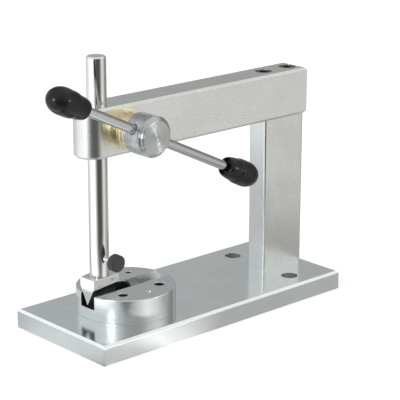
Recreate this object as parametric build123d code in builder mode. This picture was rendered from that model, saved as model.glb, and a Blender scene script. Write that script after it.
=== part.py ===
from build123d import *
import os
from math import atan, cos, pi, radians, sin, sqrt, tan

# Small bench rack press with a turning anvil disc and a V bending punch.
# Frame: origin at the middle of the base plate's underside, +Z up, +X from the ram
# towards the pillar, -Y towards the handle.  Millimetres.

os.makedirs("parts", exist_ok=True)

# ---------------------------------------------------------------- clearances
running_fit = 0.03        # radial, a shaft that turns or slides in its hole
thread_gap = 0.02         # radial, a screw in its tapped hole
screw_hole_gap = 0.2      # radial, a screw in a plain hole
seat_gap = 0.05           # between two flat faces that slide on each other
thrust_gap = 0.1          # end play of the pinion shaft
head_gap = 0.5            # radial, a screw head in its counterbore

# ---------------------------------------------------------------- base plate
base_length = 200.0
base_width = 85.0
base_thickness = 12.5
base_edge_chamfer = 1.5
base_foot_chamfer = 0.5
fixing_hole_inset = 30.6      # from the pillar end of the base
fixing_hole_spacing = 54.0
fixing_hole_diameter = 6.4
fixing_sink_diameter = 11.2

# ---------------------------------------------------------------- pillar
pillar_depth = 35.0           # along X
pillar_width = 15.0           # along Y
pillar_corner = 1.5
pillar_inset = 0.5            # from the end of the base
work_height = 102.1           # base plate's top to the arm's underside
pillar_screw_inset = 5.0      # from the pillar's inner face
pillar_screw_pitch = 21.5

# ---------------------------------------------------------------- arm
arm_width = 22.0
arm_height = 30.4
arm_edge_chamfer = 1.4
arm_end_inset = 1.0           # from the pillar's outer face
arm_nose_offset = 4.1         # centre of the round nose, outside the ram axis
reach = 132.9                 # ram axis to the pillar's inner face

# ---------------------------------------------------------------- screws
screw_diameter = 6.0
screw_head_diameter = 10.0
screw_head_height = 6.0
screw_socket_across = 5.0
screw_socket_depth = 3.2
screw_bite = 12.0             # length of a screw inside the pillar
screw_recess = 0.3            # a head's top below the surface it is sunk in
dowel_diameter = 4.0
dowel_length = 16.0

# ---------------------------------------------------------------- ram and rack
ram_diameter = 12.0
ram_length = 136.0
ram_end_chamfer = 0.8
ram_rest_height = 38.5        # ram's lower end above the bench, in the rest pose
ram_lift = 40.0               # rest pose to the top of the stroke
ram_drop = 1.0                # rest pose to the bottom of the stroke
gear_module = 1.0
pressure_angle = 20.0
rack_addendum = 0.85 * gear_module
rack_pitch_offset = ram_diameter / 2 - gear_module    # pitch line from the ram axis
tooth_backlash = 0.16
root_clearance = 0.25

# ---------------------------------------------------------------- pinion, bushes and hub
pinion_teeth = 18
pinion_height_in_arm = arm_height / 2
pinion_face_width = 10.4
pinion_bore_gap = 0.5         # radial, tooth tips in the arm's cross bore
journal_step = 0.75           # radial, tooth roots above the journals
stub_diameter = 10.0
bush_sleeve_length = 5.5
bush_flange_diameter = 24.4
front_flange_thickness = 11.0
rear_flange_thickness = 2.5
hub_diameter = 25.0
hub_length = 16.1
hub_front_chamfer = 2.5
hub_rear_chamfer = 0.4
hub_stub_depth = 13.0
hub_pin_diameter = 2.5
hub_pin_setback = 2.1         # pin axis in front of the hub's rear face
washer_diameter = 18.0
washer_thickness = 1.0
ring_thickness = 1.0
ring_diameter = 14.0
ring_groove_depth = 0.35

# ---------------------------------------------------------------- handle
bar_diameter = 6.0
bar_setback = 7.0             # bar axis in front of the hub's rear face
bar_angle = 26.1              # long end of the bar below the horizontal, rest pose
bar_offset = 9.65             # middle of the bar from the hub axis, rest pose
knob_start = 60.8            # knob's inner end from the middle of the bar
knob_length = 28.15
knob_diameter = 16.4
knob_belly = 0.62             # widest place, as a part of the knob's length
knob_neck_diameter = 12.4
insert_wall = 1.2             # radial
knob_mouth_depth = 2.5
insert_length = 12.0
bar_screw_diameter = 4.0
bar_screw_length = 6.0
bar_mouth_depth = 1.0         # countersink of the hub's cross hole

# ---------------------------------------------------------------- anvil disc
anvil_diameter = 62.0
anvil_thickness = 15.5
anvil_rim_chamfer = 0.4
station_radius = 20.75        # ring of work stations, and ram axis to the disc's pivot
slot_width = 12.5
slot_depth = 8.3
vee_width = 12.5
dimple_diameter = 4.0
station_sink = 0.7            # countersink of a station hole, radial
station_holes = [(-135.0, 5.0), (-44.0, 5.6), (46.0, 3.0), (135.0, 4.5), (90.0, 2.0)]
dimple_angle = -87.0
pivot_diameter = 8.0
pivot_depth_in_base = 9.0
pivot_depth_in_disc = 5.0

# ---------------------------------------------------------------- bending punch
punch_length = 20.5
punch_width = 12.4
punch_body_height = 5.0
punch_vee_height = 11.5
punch_tip_flat = 0.5
punch_turn = 3.5              # blade turned about the ram axis, rest pose
punch_shank_diameter = 6.0
punch_shank_length = 18.0
punch_edge_chamfer = 0.3

# ---------------------------------------------------------------- thumb screw
thumb_height_on_ram = 11.7    # screw axis above the ram's lower end
thumb_screw_diameter = 3.0
thumb_knob_diameter = 10.7
thumb_knob_length = 5.0
thumb_knob_standoff = 7.5     # knob's rear face from the ram's surface
thumb_tip_gap = 0.1

# ---------------------------------------------------------------- ram drag screw
drag_height_in_arm = 6.0
drag_plug_diameter = 4.0
drag_plug_length = 2.0
drag_screw_diameter = 5.0
drag_ram_gap = 0.05

# ---------------------------------------------------------------- derived places
base_end = base_length / 2
pillar_outer = base_end - pillar_inset
pillar_inner = pillar_outer - pillar_depth
pillar_middle = (pillar_outer + pillar_inner) / 2
arm_bottom = base_thickness + work_height
arm_top = arm_bottom + arm_height
arm_end = pillar_outer - arm_end_inset
ram_x = pillar_inner - reach
nose_x = ram_x - arm_nose_offset
nose_radius = arm_width / 2
arm_face = arm_width / 2
screw_xs = [pillar_inner + pillar_screw_inset, pillar_inner + pillar_screw_inset + pillar_screw_pitch]
dowel_x = sum(screw_xs) / 2
counterbore_diameter = screw_head_diameter + 2 * head_gap
counterbore_depth = screw_head_height + screw_recess
screw_hole_diameter = screw_diameter + 2 * screw_hole_gap

pitch_radius = gear_module * pinion_teeth / 2
tip_radius = pitch_radius + gear_module
root_radius = pitch_radius - gear_module - root_clearance
bush_outer_diameter = 2 * (tip_radius + pinion_bore_gap)
journal_diameter = 2 * (root_radius - journal_step)
knob_mouth_diameter = bar_diameter + 2 * insert_wall
pinion_x = ram_x + rack_pitch_offset + pitch_radius
pinion_z = arm_bottom + pinion_height_in_arm
rack_top = pinion_z + ram_drop + 2.5 * gear_module * pi
rack_bottom = pinion_z - ram_lift - 2.5 * gear_module * pi
ram_top = ram_rest_height + ram_length

hub_rear = -(arm_face + front_flange_thickness + thrust_gap)
hub_front = hub_rear - hub_length
bar_y = hub_rear - bar_setback
stub_front = hub_rear - hub_stub_depth
hub_pin_y = hub_rear - hub_pin_setback
rear_flange_face = arm_face + rear_flange_thickness
washer_rear = rear_flange_face + thrust_gap + washer_thickness
shaft_rear = washer_rear + 2.5 * ring_thickness

anvil_x = ram_x + station_radius
anvil_bottom = base_thickness + seat_gap
anvil_top = base_thickness + anvil_thickness
pivot_top = anvil_bottom + pivot_depth_in_disc
punch_top = ram_rest_height - seat_gap
punch_shoulder = punch_top - punch_body_height
punch_tip = punch_shoulder - punch_vee_height
thumb_z = ram_rest_height + thumb_height_on_ram
thumb_knob_rear = -(ram_diameter / 2 + thumb_knob_standoff)


# ================================================================ base group
with BuildPart() as base_plate:
    with BuildSketch(Plane.XY):
        Rectangle(base_length, base_width)
    extrude(amount=base_thickness)
    chamfer(base_plate.edges().group_by(Axis.Z)[-1], base_edge_chamfer)
    chamfer(base_plate.edges().group_by(Axis.Z)[0], base_foot_chamfer)
    # two countersunk holes that fasten the press to a bench
    with Locations(Plane.XY.offset(base_thickness)):
        with Locations(
            (base_end - fixing_hole_inset, -fixing_hole_spacing / 2),
            (base_end - fixing_hole_inset, fixing_hole_spacing / 2),
        ):
            CounterSinkHole(fixing_hole_diameter / 2, fixing_sink_diameter / 2)
    # screws into the pillar, sunk from below
    with BuildSketch(Plane.XY):
        with Locations(*[(x, 0) for x in screw_xs]):
            Circle(counterbore_diameter / 2)
    extrude(amount=counterbore_depth, mode=Mode.SUBTRACT)
    with BuildSketch(Plane.XY):
        with Locations(*[(x, 0) for x in screw_xs]):
            Circle(screw_hole_diameter / 2)
    extrude(amount=base_thickness, mode=Mode.SUBTRACT)
    # dowel into the pillar, and the disc's pivot pin
    with BuildSketch(Plane.XY.offset(base_thickness)):
        with Locations((dowel_x, 0)):
            Circle(dowel_diameter / 2)
    extrude(amount=-dowel_length / 2, mode=Mode.SUBTRACT)
    with BuildSketch(Plane.XY.offset(base_thickness)):
        with Locations((anvil_x, 0)):
            Circle(pivot_diameter / 2)
    extrude(amount=-pivot_depth_in_base, mode=Mode.SUBTRACT)

with BuildPart() as pillar:
    with BuildSketch(Plane.XY.offset(base_thickness)):
        with Locations((pillar_middle, 0)):
            RectangleRounded(pillar_depth, pillar_width, pillar_corner)
    extrude(amount=work_height)
    for plane, inwards in ((Plane.XY.offset(base_thickness), 1), (Plane.XY.offset(arm_bottom), -1)):
        with BuildSketch(plane):
            with Locations(*[(x, 0) for x in screw_xs]):
                Circle(screw_diameter / 2 + thread_gap)
        extrude(amount=inwards * (screw_bite + 2.0), mode=Mode.SUBTRACT)
        with BuildSketch(plane):
            with Locations((dowel_x, 0)):
                Circle(dowel_diameter / 2)
        extrude(amount=inwards * dowel_length / 2, mode=Mode.SUBTRACT)

with BuildPart() as arm:
    with BuildSketch(Plane.XY.offset(arm_bottom)):
        with BuildLine():
            FilletPolyline(
                (arm_end, -arm_face),
                (nose_x - nose_radius, -arm_face),
                (nose_x - nose_radius, arm_face),
                (arm_end, arm_face),
                radius=nose_radius * 0.999,
            )
            Line((arm_end, arm_face), (arm_end, -arm_face))
        make_face()
    extrude(amount=arm_height)
    chamfer(arm.edges().group_by(Axis.Z)[-1], arm_edge_chamfer)
    chamfer(arm.edges().group_by(Axis.Z)[0], arm_edge_chamfer)
    # ram bore
    with BuildSketch(Plane.XY.offset(arm_bottom)):
        with Locations((ram_x, 0)):
            Circle(ram_diameter / 2 + running_fit)
    extrude(amount=arm_height, mode=Mode.SUBTRACT)
    # cross bore for the bushes and the pinion
    with BuildSketch(Plane.XZ.offset(arm_face)):
        with Locations((pinion_x, pinion_z)):
            Circle(bush_outer_diameter / 2)
    extrude(amount=-arm_width, mode=Mode.SUBTRACT)
    # screws and dowel into the pillar
    with BuildSketch(Plane.XY.offset(arm_top)):
        with Locations(*[(x, 0) for x in screw_xs]):
            Circle(counterbore_diameter / 2)
    extrude(amount=-counterbore_depth, mode=Mode.SUBTRACT)
    with BuildSketch(Plane.XY.offset(arm_top)):
        with Locations(*[(x, 0) for x in screw_xs]):
            Circle(screw_hole_diameter / 2)
    extrude(amount=-arm_height, mode=Mode.SUBTRACT)
    with BuildSketch(Plane.XY.offset(arm_bottom)):
        with Locations((dowel_x, 0)):
            Circle(dowel_diameter / 2)
    extrude(amount=dowel_length / 2, mode=Mode.SUBTRACT)
    # drag screw hole, from the rear face into the ram bore
    with BuildSketch(Plane.XZ.offset(-arm_face)):
        with Locations((ram_x, arm_bottom + drag_height_in_arm)):
            Circle(drag_screw_diameter / 2 + thread_gap)
    extrude(amount=arm_face - ram_diameter / 2, mode=Mode.SUBTRACT)

with BuildPart() as arm_screws:
    with BuildSketch(Plane.XY.offset(arm_top - screw_recess)):
        with Locations(*[(x, 0) for x in screw_xs]):
            Circle(screw_head_diameter / 2)
    extrude(amount=-screw_head_height)
    chamfer(arm_screws.edges().group_by(Axis.Z)[-1], 0.4)
    with BuildSketch(Plane.XY.offset(arm_bottom - screw_bite)):
        with Locations(*[(x, 0) for x in screw_xs]):
            Circle(screw_diameter / 2)
    extrude(amount=screw_bite + arm_height - counterbore_depth)
    with BuildSketch(Plane.XY.offset(arm_top - screw_recess)):
        with Locations(*[(x, 0) for x in screw_xs]):
            RegularPolygon(screw_socket_across / 2, 6, major_radius=False)
    extrude(amount=-screw_socket_depth, mode=Mode.SUBTRACT)

with BuildPart() as base_screws:
    with BuildSketch(Plane.XY.offset(screw_recess)):
        with Locations(*[(x, 0) for x in screw_xs]):
            Circle(screw_head_diameter / 2)
    extrude(amount=screw_head_height)
    chamfer(base_screws.edges().group_by(Axis.Z)[0], 0.4)
    with BuildSketch(Plane.XY.offset(counterbore_depth)):
        with Locations(*[(x, 0) for x in screw_xs]):
            Circle(screw_diameter / 2)
    extrude(amount=base_thickness - counterbore_depth + screw_bite)
    with BuildSketch(Plane.XY.offset(screw_recess)):
        with Locations(*[(x, 0) for x in screw_xs]):
            RegularPolygon(screw_socket_across / 2, 6, major_radius=False)
    extrude(amount=screw_socket_depth, mode=Mode.SUBTRACT)

with BuildPart() as pillar_dowels:
    for height in (base_thickness, arm_bottom):
        with BuildSketch(Plane.XY.offset(height - dowel_length / 2)):
            with Locations((dowel_x, 0)):
                Circle(dowel_diameter / 2)
        extrude(amount=dowel_length)

with BuildPart() as anvil_pivot_pin:
    with BuildSketch(Plane.XY.offset(base_thickness - pivot_depth_in_base)):
        with Locations((anvil_x, 0)):
            Circle(pivot_diameter / 2)
    extrude(amount=pivot_top - base_thickness + pivot_depth_in_base)
    chamfer(anvil_pivot_pin.edges().group_by(Axis.Z)[-1], 0.5)

with BuildPart() as front_bush:
    with BuildSketch(Plane.XZ.offset(arm_face)):
        with Locations((pinion_x, pinion_z)):
            Circle(bush_flange_diameter / 2)
    extrude(amount=front_flange_thickness)
    with BuildSketch(Plane.XZ.offset(arm_face)):
        with Locations((pinion_x, pinion_z)):
            Circle(bush_outer_diameter / 2)
    extrude(amount=-bush_sleeve_length)
    with BuildSketch(Plane.XZ.offset(arm_face + front_flange_thickness)):
        with Locations((pinion_x, pinion_z)):
            Circle(journal_diameter / 2 + running_fit)
    extrude(amount=-front_flange_thickness - bush_sleeve_length, mode=Mode.SUBTRACT)

with BuildPart() as rear_bush:
    with BuildSketch(Plane.XZ.offset(-arm_face)):
        with Locations((pinion_x, pinion_z)):
            Circle(bush_flange_diameter / 2)
    extrude(amount=-rear_flange_thickness)
    with BuildSketch(Plane.XZ.offset(-arm_face)):
        with Locations((pinion_x, pinion_z)):
            Circle(bush_outer_diameter / 2)
    extrude(amount=bush_sleeve_length)
    with BuildSketch(Plane.XZ.offset(-arm_face - rear_flange_thickness)):
        with Locations((pinion_x, pinion_z)):
            Circle(journal_diameter / 2 + running_fit)
    extrude(amount=rear_flange_thickness + bush_sleeve_length, mode=Mode.SUBTRACT)

with BuildPart() as drag_plug:
    with BuildSketch(Plane.XZ.offset(-ram_diameter / 2 - drag_ram_gap)):
        with Locations((ram_x, arm_bottom + drag_height_in_arm)):
            Circle(drag_plug_diameter / 2)
    extrude(amount=-drag_plug_length)

with BuildPart() as drag_screw:
    drag_plug_rear = ram_diameter / 2 + drag_ram_gap + drag_plug_length
    with BuildSketch(Plane.XZ.offset(-arm_face + 0.3)):
        with Locations((ram_x, arm_bottom + drag_height_in_arm)):
            Circle(drag_screw_diameter / 2)
    extrude(amount=arm_face - 0.3 - drag_plug_rear)
    with BuildSketch(Plane.XZ.offset(-arm_face + 0.3)):
        with Locations((ram_x, arm_bottom + drag_height_in_arm)):
            RegularPolygon(1.25, 6, major_radius=False)
    extrude(amount=1.8, mode=Mode.SUBTRACT)

# ================================================================ ram group
with BuildPart() as ram:
    with BuildSketch(Plane.XY.offset(ram_rest_height)):
        with Locations((ram_x, 0)):
            Circle(ram_diameter / 2)
    extrude(amount=ram_length)
    chamfer(ram.edges().group_by(Axis.Z)[-1], ram_end_chamfer)
    chamfer(ram.edges().group_by(Axis.Z)[0], ram_end_chamfer / 2)
    # flat land of the rack's tooth tips
    land_x = ram_x + rack_pitch_offset + rack_addendum
    with BuildSketch(Plane.XY.offset(rack_bottom)):
        with Locations((land_x, 0)):
            Rectangle(ram_diameter, ram_diameter, align=(Align.MIN, Align.CENTER))
    extrude(amount=rack_top - rack_bottom, mode=Mode.SUBTRACT)
    # tooth spaces; one space stands level with the pinion axis in the rest pose
    space_pitch = gear_module * pi
    half_space = space_pitch / 4 + tooth_backlash / 4
    dedendum = gear_module + root_clearance
    flank = tan(radians(pressure_angle))
    root_x = ram_x + rack_pitch_offset - dedendum
    mouth_x = ram_x + ram_diameter / 2 + 0.5
    half_root = half_space - dedendum * flank
    half_mouth = half_space + (mouth_x - ram_x - rack_pitch_offset) * flank
    spaces_below = int((pinion_z - rack_bottom) / space_pitch)
    spaces_above = int((rack_top - pinion_z) / space_pitch)
    with BuildSketch(Plane.XZ.offset(ram_diameter / 2)):
        for step in range(-spaces_below, spaces_above + 1):
            with BuildLine():
                level = pinion_z + step * space_pitch
                Polyline(
                    (root_x, level - half_root),
                    (mouth_x, level - half_mouth),
                    (mouth_x, level + half_mouth),
                    (root_x, level + half_root),
                    close=True,
                )
            make_face()
    extrude(amount=-ram_diameter, mode=Mode.SUBTRACT)
    # punch bore and the tapped cross hole of the thumb screw
    with BuildSketch(Plane.XY.offset(ram_rest_height)):
        with Locations((ram_x, 0)):
            Circle(punch_shank_diameter / 2 + running_fit)
    extrude(amount=punch_shank_length + 1.0, mode=Mode.SUBTRACT)
    with BuildSketch(Plane.XZ.offset(ram_diameter / 2)):
        with Locations((ram_x, thumb_z)):
            Circle(thumb_screw_diameter / 2 + running_fit)
    extrude(amount=-ram_diameter / 2, mode=Mode.SUBTRACT)

# ================================================================ punch group
blade_angle = radians(punch_turn)
along_blade = (cos(blade_angle), sin(blade_angle), 0)
across_blade = (-sin(blade_angle), cos(blade_angle), 0)
half_blade = punch_length / 2
blade_start = (ram_x - half_blade * cos(blade_angle), -half_blade * sin(blade_angle), 0)
blade_plane = Plane(origin=blade_start, x_dir=across_blade, z_dir=along_blade)

with BuildPart() as bending_punch:
    with BuildSketch(blade_plane):
        with BuildLine():
            Polyline(
                (-punch_width / 2, punch_top),
                (-punch_width / 2, punch_shoulder),
                (-punch_tip_flat / 2, punch_tip),
                (punch_tip_flat / 2, punch_tip),
                (punch_width / 2, punch_shoulder),
                (punch_width / 2, punch_top),
                close=True,
            )
        make_face()
    extrude(amount=punch_length)
    chamfer(bending_punch.edges().group_by(Axis.Z)[-1], punch_edge_chamfer)
    with BuildSketch(Plane.XY.offset(punch_top - 1.0)):
        with Locations((ram_x, 0)):
            Circle(punch_shank_diameter / 2)
    extrude(amount=punch_shank_length + 1.0)
    chamfer(bending_punch.edges().group_by(Axis.Z)[-1], 0.5)

# ================================================================ thumb screw group
with BuildPart() as thumb_screw:
    with BuildSketch(Plane.XZ.offset(punch_shank_diameter / 2 + thumb_tip_gap)):
        with Locations((ram_x, thumb_z)):
            Circle(thumb_screw_diameter / 2)
    extrude(amount=-thumb_knob_rear + 3.5 - punch_shank_diameter / 2 - thumb_tip_gap)

with BuildPart() as thumb_knob:
    with BuildSketch(Plane.XZ.offset(-thumb_knob_rear)):
        with Locations((ram_x, thumb_z)):
            Circle(thumb_knob_diameter / 2)
    extrude(amount=thumb_knob_length)
    chamfer(thumb_knob.edges().group_by(Axis.Y)[0], 0.5)
    chamfer(thumb_knob.edges().group_by(Axis.Y)[-1], 0.5)
    with BuildSketch(Plane.XZ.offset(-thumb_knob_rear)):
        with Locations((ram_x, thumb_z)):
            Circle(thumb_screw_diameter / 2)
    extrude(amount=3.5, mode=Mode.SUBTRACT)

# ================================================================ anvil group
with BuildPart() as anvil_disc:
    with BuildSketch(Plane.XY.offset(anvil_bottom)):
        with Locations((anvil_x, 0)):
            Circle(anvil_diameter / 2)
    extrude(amount=anvil_top - anvil_bottom)
    chamfer(anvil_disc.edges().group_by(Axis.Z)[-1], anvil_rim_chamfer)
    # slot from the rim to the pivot, with a round inner end
    with BuildSketch(Plane.XY.offset(anvil_top)):
        with Locations((anvil_x, 0)):
            Circle(slot_width / 2)
            Rectangle(anvil_diameter, slot_width, align=(Align.MAX, Align.CENTER))
    extrude(amount=-slot_depth, mode=Mode.SUBTRACT)
    # right-angled groove from the pivot to the opposite rim
    with BuildSketch(Plane.YZ.offset(anvil_x)):
        with BuildLine():
            Polyline(
                (-vee_width / 2 - 1.0, anvil_top + 1.0),
                (0, anvil_top - vee_width / 2),
                (vee_width / 2 + 1.0, anvil_top + 1.0),
                close=True,
            )
        make_face()
    extrude(amount=anvil_diameter, mode=Mode.SUBTRACT)
    # ring of work stations
    with Locations(Plane.XY.offset(anvil_top)):
        for angle, diameter in station_holes:
            station = (
                anvil_x + station_radius * cos(radians(angle)),
                station_radius * sin(radians(angle)),
            )
            with Locations(station):
                CounterSinkHole(diameter / 2, diameter / 2 + station_sink)
        dimple = (
            anvil_x + station_radius * cos(radians(dimple_angle)),
            station_radius * sin(radians(dimple_angle)),
        )
        with Locations(dimple):
            Sphere(dimple_diameter / 2, mode=Mode.SUBTRACT)
    with BuildSketch(Plane.XY.offset(anvil_bottom)):
        with Locations((anvil_x, 0)):
            Circle(pivot_diameter / 2 + running_fit)
    extrude(amount=pivot_depth_in_disc + seat_gap, mode=Mode.SUBTRACT)

# ================================================================ pinion group
base_radius = pitch_radius * cos(radians(pressure_angle))
tooth_half_width = gear_module * pi / 4 - tooth_backlash / 4


def involute(radius):
    """Angle that the involute has turned at a radius on or outside the base circle."""
    roll = sqrt((radius / base_radius) ** 2 - 1)
    return roll - atan(roll)


def flank_point(radius, side):
    """Point of a tooth's flank at a radius; the tooth points along +X, side is +1 or -1."""
    half_angle = tooth_half_width / pitch_radius + involute(pitch_radius) - involute(radius)
    return (radius * cos(half_angle), side * radius * sin(half_angle))


flank_radii = [base_radius + (tip_radius - base_radius) * step / 4 for step in range(5)]
foot = root_radius - 0.4
foot_angle = tooth_half_width / pitch_radius + involute(pitch_radius)

with BuildSketch() as pinion_tooth:
    with BuildLine():
        Spline(*[flank_point(radius, -1) for radius in flank_radii])
        Line(flank_point(tip_radius, -1), flank_point(tip_radius, 1))
        Spline(*[flank_point(radius, 1) for radius in reversed(flank_radii)])
        Polyline(
            flank_point(base_radius, 1),
            (foot * cos(foot_angle), foot * sin(foot_angle)),
            (foot * cos(foot_angle), -foot * sin(foot_angle)),
            flank_point(base_radius, -1),
        )
    make_face()

bar_direction = (cos(radians(bar_angle)), 0, -sin(radians(bar_angle)))
bar_normal = (sin(radians(bar_angle)), 0, cos(radians(bar_angle)))
bar_plane = Plane(origin=(pinion_x, bar_y, pinion_z), x_dir=bar_normal, z_dir=bar_direction)
clamp_plane = Plane(origin=(pinion_x, bar_y, pinion_z), x_dir=bar_direction, z_dir=bar_normal)

with BuildPart() as pinion_shaft:
    pinion_plane = Plane(
        origin=(pinion_x, -pinion_face_width / 2, pinion_z), x_dir=(1, 0, 0), z_dir=(0, -1, 0)
    )
    with BuildSketch(pinion_plane):
        Circle(root_radius)
        with PolarLocations(0, pinion_teeth, start_angle=180):
            add(pinion_tooth.sketch)
    extrude(amount=-pinion_face_width)
    # journals, front stub in the hub, rear stub for the washer and ring
    with BuildSketch(Plane.XZ.offset(-hub_rear)):
        with Locations((pinion_x, pinion_z)):
            Circle(journal_diameter / 2)
    extrude(amount=hub_rear - rear_flange_face - thrust_gap)
    with BuildSketch(Plane.XZ.offset(-stub_front)):
        with Locations((pinion_x, pinion_z)):
            Circle(stub_diameter / 2)
    extrude(amount=stub_front - shaft_rear)
    chamfer(pinion_shaft.edges().group_by(Axis.Y)[-1], 0.5)
    # retaining ring groove
    with BuildSketch(Plane.XZ.offset(-washer_rear)):
        with Locations((pinion_x, pinion_z)):
            Circle(stub_diameter / 2 + 1.0)
            Circle(stub_diameter / 2 - ring_groove_depth, mode=Mode.SUBTRACT)
    extrude(amount=-ring_thickness, mode=Mode.SUBTRACT)
    # cross hole for the hub pin
    with BuildSketch(Plane.XY.offset(pinion_z)):
        with Locations((pinion_x, hub_pin_y)):
            Circle(hub_pin_diameter / 2)
    extrude(amount=hub_diameter, both=True, mode=Mode.SUBTRACT)
    # cross hole for the bar and the tapped hole of its clamping screw
    with BuildSketch(bar_plane):
        Circle(bar_diameter / 2 + running_fit)
    extrude(amount=hub_diameter, both=True, mode=Mode.SUBTRACT)
    with BuildSketch(clamp_plane):
        Circle(bar_screw_diameter / 2 + thread_gap)
    extrude(amount=-hub_diameter, mode=Mode.SUBTRACT)

with BuildPart() as pinion_washer:
    with BuildSketch(Plane.XZ.offset(-rear_flange_face - thrust_gap)):
        with Locations((pinion_x, pinion_z)):
            Circle(washer_diameter / 2)
            Circle(stub_diameter / 2 + thread_gap, mode=Mode.SUBTRACT)
    extrude(amount=-washer_thickness)

with BuildPart() as retaining_ring:
    with BuildSketch(Plane.XZ.offset(-washer_rear)):
        with Locations((pinion_x, pinion_z)):
            Circle(ring_diameter / 2)
            Circle(stub_diameter / 2 - ring_groove_depth, mode=Mode.SUBTRACT)
            Rectangle(3.0, ring_diameter, align=(Align.CENTER, Align.MAX), mode=Mode.SUBTRACT)
    extrude(amount=-ring_thickness)

with BuildPart() as handle_hub:
    with BuildSketch(Plane.XZ.offset(-hub_rear)):
        with Locations((pinion_x, pinion_z)):
            Circle(hub_diameter / 2)
    extrude(amount=hub_length)
    chamfer(handle_hub.edges().group_by(Axis.Y)[0], hub_front_chamfer)
    chamfer(handle_hub.edges().group_by(Axis.Y)[-1], hub_rear_chamfer)
    with BuildSketch(Plane.XZ.offset(-hub_rear)):
        with Locations((pinion_x, pinion_z)):
            Circle(stub_diameter / 2)
    extrude(amount=hub_stub_depth, mode=Mode.SUBTRACT)
    with BuildSketch(Plane.XY.offset(pinion_z)):
        with Locations((pinion_x, hub_pin_y)):
            Circle(hub_pin_diameter / 2)
    extrude(amount=hub_diameter, both=True, mode=Mode.SUBTRACT)
    # cross hole for the bar with countersunk mouths, and the tapped hole of its screw
    with BuildSketch(bar_plane):
        Circle(bar_diameter / 2 + running_fit)
    extrude(amount=hub_diameter, both=True, mode=Mode.SUBTRACT)
    for side in (-1, 1):
        with BuildSketch(bar_plane.offset(side * (hub_diameter / 2 - bar_mouth_depth))):
            Circle(bar_diameter / 2)
        extrude(amount=side * 2 * bar_mouth_depth, taper=-45, mode=Mode.SUBTRACT)
    with BuildSketch(clamp_plane):
        Circle(bar_screw_diameter / 2 + thread_gap)
    extrude(amount=-hub_diameter, mode=Mode.SUBTRACT)

with BuildPart() as hub_pin:
    with BuildSketch(Plane.XY.offset(pinion_z - hub_diameter / 2 + 0.4)):
        with Locations((pinion_x, hub_pin_y)):
            Circle(hub_pin_diameter / 2)
    extrude(amount=hub_diameter - 0.8)

with BuildPart() as bar_clamp_screw:
    clamp_tip = bar_diameter / 2 + thumb_tip_gap
    with BuildSketch(clamp_plane.offset(-clamp_tip)):
        Circle(bar_screw_diameter / 2)
    extrude(amount=-bar_screw_length)
    with BuildSketch(clamp_plane.offset(-clamp_tip - bar_screw_length)):
        RegularPolygon(1.0, 6, major_radius=False)
    extrude(amount=2.0, mode=Mode.SUBTRACT)

# ================================================================ handle group
bar_middle = (
    pinion_x + bar_offset * bar_direction[0],
    bar_y,
    pinion_z + bar_offset * bar_direction[2],
)
knob_end = knob_start + knob_length
insert_start = knob_start + knob_mouth_depth
insert_end = insert_start + insert_length
bar_half_length = insert_end - 1.0

with BuildPart() as handle_bar:
    with BuildSketch(Plane(origin=bar_middle, x_dir=bar_normal, z_dir=bar_direction)):
        Circle(bar_diameter / 2)
    extrude(amount=bar_half_length, both=True)
    chamfer(handle_bar.edges().filter_by(GeomType.CIRCLE), 0.5)

knob_nodes = {}
insert_nodes = {}
for name, side in (("long_end", 1), ("short_end", -1)):
    outwards = (side * bar_direction[0], 0, side * bar_direction[2])
    radial_plane = Plane(origin=bar_middle, x_dir=outwards, z_dir=(0, -1, 0))
    knob_axis = Axis(bar_middle, outwards)

    with BuildPart() as knob_insert:
        with BuildSketch(radial_plane):
            with Locations((insert_start, bar_diameter / 2)):
                Rectangle(
                    insert_length,
                    (knob_mouth_diameter - bar_diameter) / 2,
                    align=(Align.MIN, Align.MIN),
                )
        revolve(axis=knob_axis)
    insert_nodes[name] = knob_insert.part

    with BuildPart() as knob:
        with BuildSketch(radial_plane):
            with BuildLine():
                rim = knob_neck_diameter / 2
                belly = knob_diameter / 2
                mouth = knob_mouth_diameter / 2
                belly_at = knob_start + knob_belly * knob_length
                # rounded rim, tapered grip, then a quarter ellipse over the end
                Spline(
                    (knob_start, (rim + mouth) / 2),
                    (knob_start + 0.9, rim),
                    ((knob_start + belly_at) / 2, (rim + belly) / 2 + 0.25),
                    (belly_at, belly),
                    tangents=[(0, 1), (1, 0)],
                )
                EllipticalCenterArc(
                    (belly_at, 0), knob_end - belly_at, belly, start_angle=0, arc_size=90
                )
                Polyline(
                    (knob_end, 0),
                    (insert_end, 0),
                    (insert_end, mouth),
                    (insert_start, mouth),
                    (knob_start, (rim + mouth) / 2),
                )
            make_face()
        revolve(axis=knob_axis)
    knob_nodes[name] = knob.part

# ================================================================ export
nodes = {
    "base_plate": base_plate.part,
    "pillar": pillar.part,
    "arm": arm.part,
    "arm_screws": arm_screws.part,
    "base_screws": base_screws.part,
    "pillar_dowels": pillar_dowels.part,
    "anvil_pivot_pin": anvil_pivot_pin.part,
    "front_bush": front_bush.part,
    "rear_bush": rear_bush.part,
    "drag_plug": drag_plug.part,
    "drag_screw": drag_screw.part,
    "ram": ram.part,
    "bending_punch": bending_punch.part,
    "thumb_screw": thumb_screw.part,
    "thumb_knob": thumb_knob.part,
    "anvil_disc": anvil_disc.part,
    "pinion_shaft": pinion_shaft.part,
    "pinion_washer": pinion_washer.part,
    "retaining_ring": retaining_ring.part,
    "handle_hub": handle_hub.part,
    "hub_pin": hub_pin.part,
    "bar_clamp_screw": bar_clamp_screw.part,
    "handle_bar": handle_bar.part,
    "knob_long_end": knob_nodes["long_end"],
    "knob_short_end": knob_nodes["short_end"],
    "insert_long_end": insert_nodes["long_end"],
    "insert_short_end": insert_nodes["short_end"],
}
for name, part in nodes.items():
    part.label = name
    export_step(part, f"parts/{name}.step")
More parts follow.
